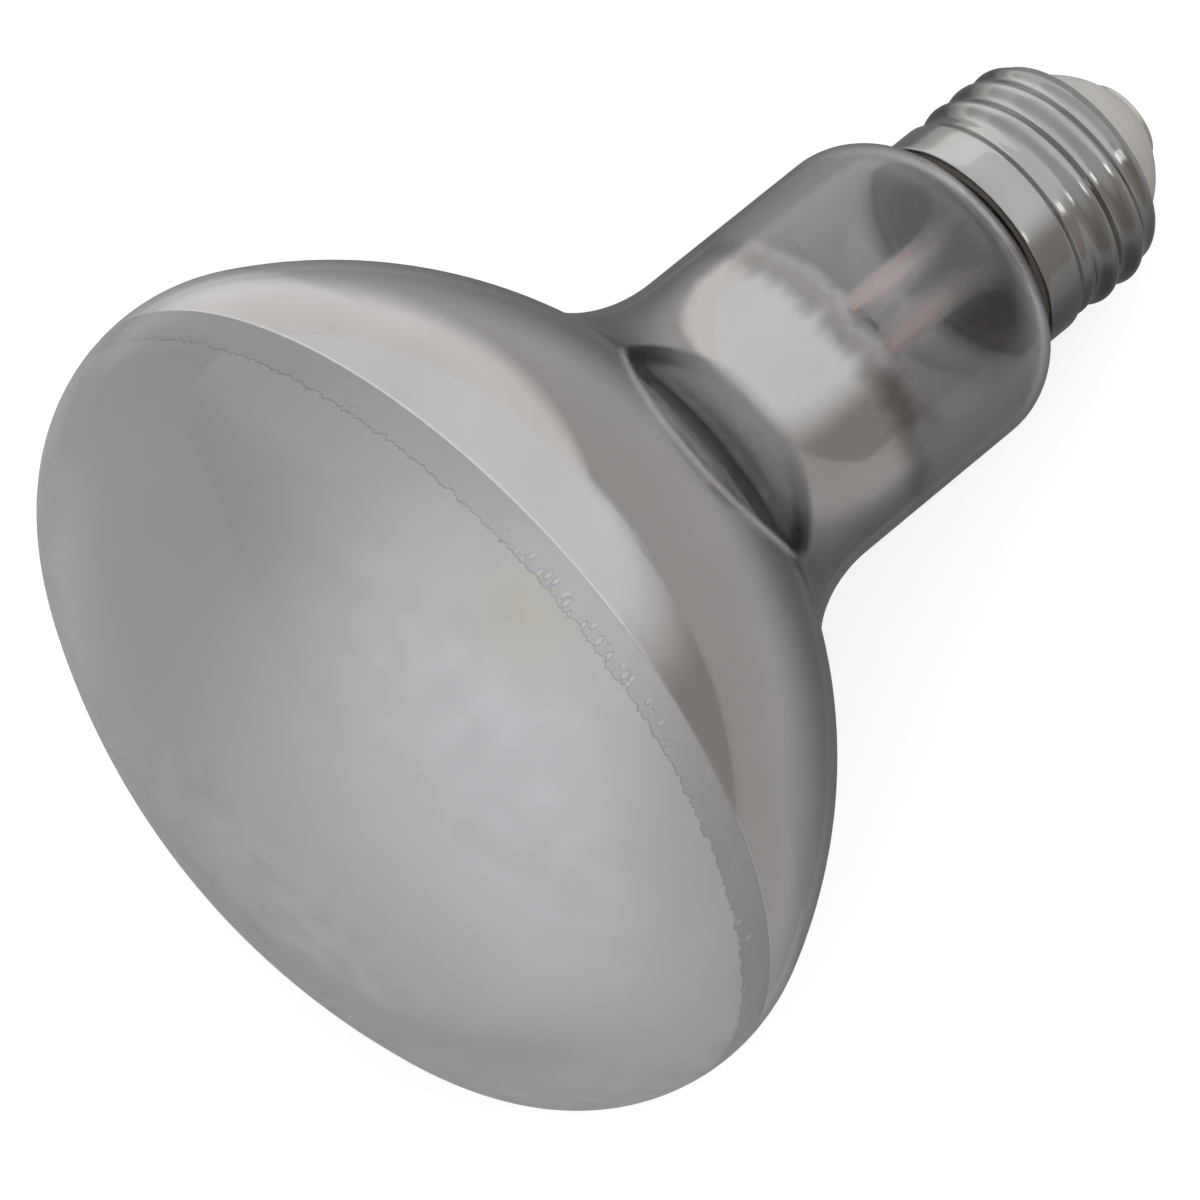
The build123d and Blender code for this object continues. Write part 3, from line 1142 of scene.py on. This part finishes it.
@dataclass(frozen=True)
class Stone:
    """Fired or baked mineral with patches and a fine tooth."""

    name: str
    light: Color
    dark: Color
    rough: float
    relief: float = 0.01
    patch: float = 3.0
    grain: float = 0.25
    rough_spread: float = 0.12

    def make(self, groups: LampGroups) -> Material:
        """Makes the mineral's material.

        Args:
            groups: The shared node groups.

        Returns:
            The material.
        """
        finish = Finish(self.name, groups)
        grain = finish.grain(self.grain)
        finish.feed("Base Color", finish.board.blend(finish.patches(self.patch), self.light, self.dark))
        finish.feed("Roughness", finish.vary(grain, self.rough, self.rough + self.rough_spread))
        finish.bump(grain, self.relief)
        return finish.material


# Sub-assemblies


@dataclass
class Bulb:
    """The blown bulb with the mirror film inside it. Sizes in millimetres."""

    shop: Workshop
    bulb_diameter: float = 95.0
    overall_length: float = 129.0
    face_height: float = 25.7
    edge_radius: float = 17.5
    bowl_radius: float = 55.0
    bowl_handover: float = 114.0
    neck_fillet: float = 22.0
    neck_diameter: float = 35.0
    shoulder_radius: float = 8.5
    film_gap: float = 0.05
    film_thickness: float = 0.04
    film_spare: float = 4.5
    segments: int = 160
    edges: FilmEdges = FilmEdges()
    glass: BulbGlass = BulbGlass()
    film: MirrorFilm = MirrorFilm()

    def section(self, inset: float) -> list[Station]:
        """Half section of the glass from the face's middle to the end of the seal.

        Args:
            inset: How far the section lies inside the outer surface.

        Returns:
            Stations from the face to the seal.
        """
        radius = self.bulb_diameter / 2
        neck = self.neck_diameter / 2
        edge = (self.overall_length - self.face_height, radius - self.edge_radius)
        rise = self.face_height
        dome_radius = (rise**2 + edge[1] ** 2 - self.edge_radius**2) / (2 * (rise - self.edge_radius))
        dome = (self.overall_length - dome_radius, 0.0)
        dome_angle = math.degrees(math.atan2(edge[1], edge[0] - dome[0]))
        reach = self.bowl_radius - self.edge_radius
        handover = math.radians(self.bowl_handover)
        bowl = (edge[0] - reach * math.cos(handover), edge[1] - reach * math.sin(handover))
        span = self.bowl_radius + self.neck_fillet
        offset = neck + self.neck_fillet - bowl[1]
        fillet = (bowl[0] - math.sqrt(span**2 - offset**2), neck + self.neck_fillet)
        fillet_angle = math.degrees(math.asin(offset / span))
        shoulder = (CAP_LENGTH + self.shoulder_radius, neck - self.shoulder_radius)
        stub = SEAL_RADIUS - inset
        shoulder_end = math.degrees(math.asin((stub - shoulder[1]) / (self.shoulder_radius - inset)))
        parts = [
            arc(dome, dome_radius - inset, 0.0, dome_angle, steps=24),
            arc(edge, self.edge_radius - inset, dome_angle, self.bowl_handover, steps=36),
            arc(bowl, self.bowl_radius - inset, self.bowl_handover, 180.0 - fillet_angle, steps=22),
            arc(fillet, self.neck_fillet + inset, -fillet_angle, -90.0, steps=22),
            stretch((fillet[0], neck - inset), (shoulder[0], neck - inset), steps=10),
            arc(shoulder, self.shoulder_radius - inset, 90.0, 180.0 - shoulder_end, steps=18),
        ]
        parts.append(stretch(parts[-1][-1], (SEAL_PLACE, stub), steps=4))
        return [parts[0][0]] + [station for part in parts for station in part[1:]]

    def build(self, groups: LampGroups) -> list[Piece]:
        """Makes the glass and the mirror film.

        Args:
            groups: The shared node groups.

        Returns:
            The glass and the film.
        """
        outer = self.section(0.0)
        inner = self.section(GLASS_WALL)
        glass = self.shop.turn("bulb_glass", outer + [inner[-1]], self.segments)
        lining = self.shop.turn("bulb_lining", inner, self.segments)
        paint(glass, self.glass.outer(groups, self.edges))
        paint(lining, self.glass.inner(groups, self.edges))
        glass = self.shop.join(glass, lining)
        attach(glass, BODY)
        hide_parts("glass_envelope")
        return [glass, self.build_film(groups)]

    def build_film(self, groups: LampGroups) -> Piece:
        """Makes the mirror film as a thin closed skin inside the glass.

        Args:
            groups: The shared node groups.

        Returns:
            The film.
        """
        low = self.edges.neck - self.film_spare
        high = self.edges.rim + self.film_spare
        inset = GLASS_WALL + self.film_gap
        sides = []
        for depth in (inset, inset + self.film_thickness):
            sides.append([station for station in self.section(depth) if low < station[0] < high])
        film = self.shop.turn("mirror_film", [sides[1][0], *sides[0], sides[1][-1]], self.segments)
        lining = self.shop.turn("mirror_lining", sides[1], self.segments)
        paint(film, self.film.outside(groups, self.edges))
        paint(lining, self.film.inside(groups, self.edges))
        film = self.shop.join(film, lining)
        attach(film, BODY)
        return film


@dataclass
class Stem:
    """The glass stem in the neck: a flare, a tube and a flat press. Sizes in millimetres."""

    shop: Workshop
    tube_radius: float = 4.2
    flare_radius: float = 14.0
    flare_clearance: float = 0.3
    stem_length: float = 20.0
    press_rise: float = 6.0
    press_flat: float = 6.0
    press_half_width: float = 5.0
    press_half_depth: float = 1.6
    press_edge: float = 0.4
    press_edge_inset: float = 0.3
    press_steps: int = 8
    bore_dome: float = 3.0
    dome_steps: int = 6
    segments: int = 72
    glass: StemGlass = StemGlass("stem_glass")
    bore_glass: StemGlass = StemGlass("stem_bore_glass", painted_edge_sheen=Span(0.10, 0.25, 0.02, 0.12))

    def build(self, groups: LampGroups) -> Piece:
        """Makes the stem.

        Args:
            groups: The shared node groups.

        Returns:
            The stem.
        """
        mouth = SEAL_RADIUS - GLASS_WALL - self.flare_clearance
        centre_radius = self.tube_radius + self.flare_radius
        angle = math.degrees(math.acos((centre_radius - mouth) / self.flare_radius))
        flare_place = SEAL_PLACE + self.flare_radius * math.sin(math.radians(angle))
        flange = SEAL_PLACE - GLASS_WALL
        bell_radius = self.flare_radius + GLASS_WALL
        inner_angle = math.degrees(math.asin((flare_place - flange) / bell_radius))
        top = SEAL_PLACE + self.stem_length
        centre = (flare_place, centre_radius)
        flare = arc(centre, self.flare_radius, 270.0 - angle, 270.0, steps=16)
        bell = arc(centre, bell_radius, 270.0 - inner_angle, 270.0, steps=16)
        rim = [(flange, bell[0][1]), (flange, SEAL_RADIUS), (SEAL_PLACE, SEAL_RADIUS)]
        tube = stretch((flare_place, self.tube_radius), (top, self.tube_radius), steps=6)
        rings = [(place, radius, radius) for place, radius in rim + flare + tube[1:]]
        rings += self.press(top)
        stem = self.shop.draw_out("stem_glass", rings, self.segments)
        bore = self.tube_radius - GLASS_WALL
        inside = bell + stretch((flare_place, bore), (top, bore), steps=6)[1:]
        for step in range(1, self.dome_steps + 1):
            rise = math.radians(90.0 * step / self.dome_steps)
            inside.append((top + self.bore_dome * math.sin(rise), max(POINT, bore * math.cos(rise))))
        lining = self.shop.draw_out(
            "stem_bore", [(place, radius, radius) for place, radius in inside], self.segments
        )
        paint(stem, self.glass.make(groups))
        paint(lining, self.bore_glass.make(groups))
        stem = self.shop.join(stem, lining)
        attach(stem, BODY)
        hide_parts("stem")
        return stem

    def press(self, top: float) -> list[tuple[float, float, float]]:
        """Rings of the press, from the round tube to its closed flat end.

        Args:
            top: Place where the tube ends.

        Returns:
            Place, half width and half depth of each ring.
        """
        rings = []
        for step in range(1, self.press_steps + 1):
            share = smooth_step(0.0, 1.0, step / self.press_steps)
            width = self.tube_radius + (self.press_half_width - self.tube_radius) * share
            depth = self.tube_radius + (self.press_half_depth - self.tube_radius) * share
            rings.append((top + self.press_rise * step / self.press_steps, width, depth))
        end = top + self.press_rise + self.press_flat
        inset = self.press_edge_inset
        rings.append((end - self.press_edge, self.press_half_width, self.press_half_depth))
        rings.append((end, self.press_half_width - inset, self.press_half_depth - inset))
        rings.append((end, POINT, POINT))
        return rings


@dataclass
class ScrewCap:
    """The rolled screw shell and the insulator in its end. Sizes in millimetres."""

    shop: Workshop
    thread: Thread = Thread()
    crest_radius: float = 13.1
    root_radius: float = 12.2
    thread_gap: float = 0.5
    thread_rise: float = 2.0
    thread_fade: float = 2.7
    thread_overrun: float = 0.6
    shell_place: float = 8.0
    shell_edge: float = 1.0
    collar_place: float = 20.8
    collar_radius: float = 12.95
    collar_steps: int = 12
    rim_round: float = 0.2
    sheet: float = 0.4
    opening_radius: float = 10.4
    insulator_place: float = 1.6
    insulator_front_radius: float = 5.6
    insulator_round: float = 0.5
    insulator_round_end: float = 125.0
    insulator_bulge: float = 0.65
    insulator_back_place: float = 10.8
    wire_hole_radius: float = 0.8
    seat_gap: float = 0.05
    segments: int = 192
    insulator_segments: int = 96
    rings_per_pitch: int = 22
    metal: RolledMetal = RolledMetal("cap_metal", (0.37, 0.36, 0.347), (0.29, 0.28, 0.27), 0.12, 0.20)
    stone: Stone = Stone("insulator_stone", (0.50, 0.47, 0.44), (0.44, 0.415, 0.385), 0.45)

    def ridge(self, place: float, turn: float) -> float:
        """Height of the thread over the root.

        Args:
            place: Distance along the axis.
            turn: Angle round the axis from straight up, in radians.

        Returns:
            The height in millimetres.
        """
        phase = (place - self.thread.place) / self.thread.pitch - turn / math.tau
        shape = 0.5 + 0.5 * math.cos(math.tau * phase)
        foot = self.shell_place + self.thread_gap
        start = smooth_step(foot, foot + self.thread_rise, place)
        last = self.thread.end
        end = 1.0 - smooth_step(last - self.thread_fade, last + self.thread_overrun, place)
        return (self.crest_radius - self.root_radius) * shape * start * end

    def build(self, groups: LampGroups) -> list[Piece]:
        """Makes the shell and the insulator."""
        return [self.build_shell(groups), self.build_insulator(groups)]

    def build_shell(self, groups: LampGroups) -> Piece:
        """Turns the shell and rolls the thread into it.

        Args:
            groups: The shared node groups.

        Returns:
            The shell.
        """
        lip = self.root_radius - self.shell_edge
        threaded = self.thread.end - self.shell_place - self.shell_edge
        rings = round(threaded / self.thread.pitch * self.rings_per_pitch)
        bore = self.root_radius - self.sheet
        inside = self.collar_radius - self.sheet
        end = (self.shell_place + self.shell_edge, lip)
        floor = self.shell_place + self.sheet
        section = [(self.shell_place, self.opening_radius), (self.shell_place, lip)]
        section += arc(end, self.shell_edge, 180.0, 90.0, steps=8)[1:]
        section += stretch((end[0], self.root_radius), (self.thread.end, self.root_radius), rings)[1:]
        for step in range(1, self.collar_steps + 1):
            share = smooth_step(0.0, 1.0, step / self.collar_steps)
            place = self.thread.end + (self.collar_place - self.thread.end) * step / self.collar_steps
            section.append((place, self.root_radius + (self.collar_radius - self.root_radius) * share))
        rim = (CAP_LENGTH - self.rim_round, self.collar_radius - self.rim_round)
        section += stretch((self.collar_place, self.collar_radius), (rim[0], self.collar_radius), steps=6)[1:]
        section += arc(rim, self.rim_round, 90.0, 0.0, steps=5)[1:]
        section += [(CAP_LENGTH, inside), (self.collar_place, inside), (self.thread.end, bore)]
        section += [(end[0], bore), (floor, lip), (floor, self.opening_radius)]
        shell = self.shop.turn("cap_shell_rolled", section + section[:1], self.segments)
        self.roll_thread(shell)
        paint(shell, self.metal.make(groups))
        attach(shell, BODY)
        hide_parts("cap_shell")
        return shell

    def roll_thread(self, shell: Piece) -> None:
        """Pushes the outer wall of the shell out along a helix.

        Args:
            shell: The plain turned shell.
        """
        axis = self.shop.axis
        outer_limit = (self.root_radius - self.sheet / 2) * MM
        for vertex in shell.data.vertices:
            offset = vertex.co - axis.tip
            along = offset.dot(axis.direction)
            out = offset - axis.direction * along
            place = along / MM
            if out.length < outer_limit - self.shell_edge * MM or place > self.collar_place:
                continue
            if out.length < outer_limit and place > self.shell_place + self.shell_edge:
                continue
            if place <= self.shell_place + self.sheet and out.length < outer_limit:
                continue
            turn = math.atan2(out.dot(axis.side), out.dot(axis.up))
            vertex.co += out.normalized() * self.ridge(place, turn) * MM

    def build_insulator(self, groups: LampGroups) -> Piece:
        """Turns the insulator, with softened edges.

        Args:
            groups: The shared node groups.

        Returns:
            The insulator.
        """
        front = self.insulator_place
        corner = (front + self.insulator_round, self.insulator_front_radius - self.insulator_round)
        base = (self.shell_place, self.opening_radius - self.seat_gap)
        bore = self.root_radius - self.sheet - self.seat_gap
        lip = self.root_radius - self.shell_edge - self.seat_gap
        section = [(front, self.wire_hole_radius), (front, corner[1])]
        section += arc(corner, self.insulator_round, 180.0, self.insulator_round_end, steps=5)[1:]
        section += bow(section[-1], base, self.insulator_bulge, steps=12)[1:]
        section += [
            (self.shell_place + self.sheet, base[1]),
            (self.shell_place + self.sheet, lip),
            (self.shell_place + self.shell_edge, bore),
            (self.insulator_back_place, bore),
            (self.insulator_back_place, self.wire_hole_radius),
        ]
        insulator = self.shop.turn("insulator_cone", section + section[:1], self.insulator_segments)
        paint(insulator, self.stone.make(groups))
        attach(insulator, BODY)
        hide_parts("insulator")
        return insulator


@dataclass
class InnerPieces:
    """Pieces that keep their own solids: wires, filament, contact and cement."""

    tungsten: Metal = Metal("tungsten_coil", (0.32, 0.31, 0.30), (0.24, 0.23, 0.22), 0.40, 0.55, patch=1.5)
    wire: Metal = Metal("wire_metal", (0.62, 0.60, 0.57), (0.48, 0.46, 0.43), 0.25, 0.40, patch=2.0)
    copper: Metal = Metal("feed_copper", (0.66, 0.38, 0.26), (0.52, 0.30, 0.21), 0.28, 0.42, patch=2.0)
    brass: Metal = Metal("contact_brass", (0.52, 0.49, 0.44), (0.44, 0.41, 0.36), 0.35, 0.50, patch=2.0)
    solder: Metal = Metal(
        "solder_drop", (0.62, 0.62, 0.61), (0.50, 0.50, 0.49), 0.30, 0.48, patch=1.2, relief=0.02
    )
    cement: Stone = Stone("basing_cement", (0.42, 0.38, 0.33), (0.30, 0.27, 0.23), 0.80, relief=0.05)

    def dress(self, groups: LampGroups, stem_material: Material) -> list[Piece]:
        """Gives each solid its finish.

        Args:
            groups: The shared node groups.
            stem_material: Glass of the stem, which the rod and the thin tube share.

        Returns:
            The dressed solids.
        """
        wire = self.wire.make(groups)
        copper = self.copper.make(groups)
        finishes = {
            "filament": self.tungsten.make(groups),
            "contact_plate": self.brass.make(groups),
            "contact_solder": self.solder.make(groups),
            "basing_cement": self.cement.make(groups),
            "arbor": stem_material,
            "exhaust_tube": stem_material,
            "contact_feed_wire": copper,
            "shell_feed_wire": copper,
        }
        for name in frame["nodes"]:
            if name.startswith(("support_wire", "lead_wire")):
                finishes[name] = wire
        dressed = []
        for name, material in finishes.items():
            solid = frame["nodes"][name]
            paint(solid, material)
            dressed.append(solid)
        return dressed


# Table, light and camera


@dataclass(frozen=True)
class Strip:
    """Small lamp that glints on the screw shell alone. Sizes in metres, power in watts."""

    name: str
    direction: Direction
    along: Direction
    distance: float
    length: float
    width: float
    power: float

    def build(self, shell: Piece) -> Piece:
        """Hangs the lamp in a direction from the middle of the shell, facing it.

        Args:
            shell: The screw shell.

        Returns:
            The lamp.
        """
        data = bpy.data.lights.new(self.name, "AREA")
        data.shape = "RECTANGLE"
        data.size = self.length
        data.size_y = self.width
        data.energy = self.power
        lamp = place_in_scene(self.name, data)
        away = Vector(self.direction).normalized()
        along = Vector(self.along)
        along = (along - away * along.dot(away)).normalized()
        turn = Matrix((along, away.cross(along), away)).transposed()
        corners = [Vector(corner) for corner in shell.bound_box]
        lamp.location = sum(corners, Vector()) / len(corners) + away * self.distance
        lamp.rotation_euler = turn.to_euler()
        receivers = bpy.data.collections.new(f"{self.name}_receivers")
        receivers.objects.link(shell)
        lamp.light_linking.receiver_collection = receivers
        return lamp


@dataclass(frozen=True)
class Lobe:
    """Soft patch of light in the surroundings, with its edges as cosines of the angle from its middle."""

    azimuth: float
    elevation: float
    edge: Span

    def share(self, board: NodeBoard) -> Socket:
        """Share of the patch in each direction, from 0 to 1.

        Args:
            board: The world's nodes.

        Returns:
            The share's socket.
        """
        direction = board.add("ShaderNodeTexCoord").outputs["Generated"]
        facing = board.measure("DOT_PRODUCT", direction, -looking(self.azimuth, self.elevation))
        return board.ramp(facing, self.edge)


@dataclass
class Studio:
    """White table, soft lamps, pale surroundings and the camera. Sizes in metres, angles in degrees."""

    table_size: float = 1.6
    table_color: Color = (0.44, 0.43, 0.42)
    # Painted shade: every ray but the camera's sees the table in this darker colour
    table_in_glass: Color = (0.10, 0.097, 0.094)
    table_roughness: float = 0.9
    table_glow: float = 0.72
    # Painted shadow and painted light: the table's glow in metal and glass is dim round the lamp and bright
    # towards the window
    far_glow: Span = Span(0.035, 0.105, 0.09, 0.50)
    window_glow: Span = Span(0.05, 0.115, 0.0, 1.08)
    window_azimuth: float = 0.0
    window_side: Span = Span(0.0, 0.12, 1.0, 0.0)
    light_side: Color = (1.22, 1.26, 1.29)
    dark_side: Color = (0.46, 0.432, 0.41)
    window: Lobe = Lobe(318.4, 36.0, Span(0.15, 0.60))
    front: Lobe = Lobe(80.0, 55.0, Span(0.50, 0.90))
    front_light: float = 0.8
    softbox_distance: float = 1.0
    softbox_size: float = 0.7
    softbox_power: float = 0.8
    strips: tuple[Strip, ...] = (
        Strip(
            "glint_strip",
            direction=(-0.376, 0.524, 0.764),
            along=(0.76, 0.03, 0.37),
            distance=0.60,
            length=0.34,
            width=0.11,
            power=0.20,
        ),
        Strip(
            "pale_card",
            direction=(-0.245, -0.95, -0.197),
            along=(1.0, 0.0, 0.0),
            distance=0.045,
            length=0.11,
            width=0.08,
            power=0.009,
        ),
    )
    camera_target: Direction = (0.01433, 0.00445, 0.040)
    camera_azimuth: float = 143.892
    camera_elevation: float = 82.506
    camera_roll: float = -5.781
    camera_distance: float = 0.9872
    lens: float = 295.8
    sensor: float = 36.0

    def build(self, shell: Piece) -> list[Piece]:
        """Sets up the table, the lamps, the world and the camera.

        Args:
            shell: The screw shell, which the strips light.

        Returns:
            The table, the lamps and the camera.
        """
        scene = bpy.context.scene
        scene.view_settings.view_transform = "Standard"
        # With so few lamps, a plain draw among them is quicker than a light tree.
        scene.cycles.use_light_tree = False
        self.build_world()
        strips = [strip.build(shell) for strip in self.strips]
        return [self.build_table(), self.build_softbox(), *strips, self.build_camera()]

    def build_world(self) -> None:
        """Makes surroundings that are bright on one side, dim on the other, and white behind the table."""
        world = bpy.data.worlds.new("studio_world")
        bpy.context.scene.world = world
        world.use_nodes = True
        board = NodeBoard(world.node_tree)
        background = next(node for node in world.node_tree.nodes if node.type == "BACKGROUND")
        front = board.maths("MULTIPLY", self.front.share(board), self.front_light)
        share = board.maths("MAXIMUM", self.window.share(board), front)
        room = board.blend(share, self.dark_side, self.light_side)
        path = board.add("ShaderNodeLightPath")
        board.link(board.blend(path.outputs[Ray.CAMERA.value], room, WHITE), background.inputs["Color"])

    def build_table(self) -> Piece:
        """Makes the white table, which keeps the lamp's shadow.

        Returns:
            The table.
        """
        bpy.ops.object.select_all(action="DESELECT")
        bpy.ops.mesh.primitive_plane_add(size=self.table_size)
        table = bpy.context.object
        table.name = "table"
        material = bpy.data.materials.new("table_white")
        material.use_nodes = True
        board = NodeBoard(material.node_tree)
        shader = next(node for node in material.node_tree.nodes if node.type == "BSDF_PRINCIPLED")
        shader.inputs["Roughness"].default_value = self.table_roughness
        shader.inputs["Specular IOR Level"].default_value = 0.0
        shader.inputs["Emission Color"].default_value = (*WHITE, 1.0)
        path = board.add("ShaderNodeLightPath")
        color = board.blend(path.outputs[Ray.CAMERA.value], self.table_in_glass, self.table_color)
        board.link(color, shader.inputs["Base Color"])
        glossy, through = path.outputs[Ray.GLOSSY.value], path.outputs[Ray.TRANSMISSION.value]
        in_glass = board.maths("MAXIMUM", glossy, through)
        in_glass = board.maths("MULTIPLY", in_glass, self.table_brightness(board))
        seen = board.maths("MULTIPLY", path.outputs[Ray.CAMERA.value], self.table_glow)
        board.link(board.maths("MAXIMUM", in_glass, seen), shader.inputs["Emission Strength"])
        table.data.materials.append(material)
        return table

    def table_brightness(self, board: NodeBoard) -> Socket:
        """Glow of the table in metal and glass, with a painted shadow round the lamp and painted light
        towards the window.

        Args:
            board: The table's nodes.

        Returns:
            The glow's socket.
        """
        point = board.add("ShaderNodeTexCoord").outputs["Object"]
        away = board.ramp(board.measure("LENGTH", point), self.far_glow)
        towards = board.measure("DOT_PRODUCT", point, -looking(self.window_azimuth, 0.0))
        beside = board.measure("DOT_PRODUCT", point, Vector((1.0, 0.0, 0.0)))
        side = board.ramp(beside, self.window_side)
        window = board.maths("MULTIPLY", board.ramp(towards, self.window_glow), side)
        return board.maths("MAXIMUM", away, window)

    def build_softbox(self) -> Piece:
        """Hangs the soft lamp in the direction of the window.

        Returns:
            The lamp.
        """
        view = looking(self.window.azimuth, self.window.elevation)
        data = bpy.data.lights.new("softbox", "AREA")
        data.shape = "SQUARE"
        data.size = self.softbox_size
        data.energy = self.softbox_power
        lamp = place_in_scene("softbox", data)
        lamp.location = Vector(self.camera_target) - view * self.softbox_distance
        lamp.rotation_euler = view.to_track_quat("-Z", "Y").to_euler()
        lamp.visible_glossy = False
        lamp.visible_transmission = False
        return lamp

    def build_camera(self) -> Piece:
        """Sets the camera at the photograph's viewing angle.

        Returns:
            The camera.
        """
        data = bpy.data.cameras.new("camera")
        data.lens = self.lens
        data.sensor_width = self.sensor
        camera = place_in_scene("camera", data)
        view = looking(self.camera_azimuth, self.camera_elevation)
        camera.location = Vector(self.camera_target) - view * self.camera_distance
        turn = view.to_track_quat("-Z", "Y") @ Quaternion((0.0, 0.0, 1.0), math.radians(self.camera_roll))
        camera.rotation_euler = turn.to_euler()
        bpy.context.scene.camera = camera
        return camera


def main() -> None:
    """Builds and dresses every sub-assembly in order and reports each piece."""
    logging.basicConfig(level=logging.INFO, format="%(name)s: %(message)s")
    axis = LampAxis.from_record(frame["record"])
    shop = Workshop(axis)
    groups = LampGroups(axis)
    stem = Stem(shop).build(groups)
    cap = ScrewCap(shop).build(groups)
    pieces = Bulb(shop).build(groups) + [stem] + cap
    pieces += InnerPieces().dress(groups, stem.data.materials[1])
    pieces += Studio().build(cap[0])
    for piece in pieces:
        LOG.info("%s: %s", piece.name, piece.type.lower())


if __name__ == "__main__":
    main()
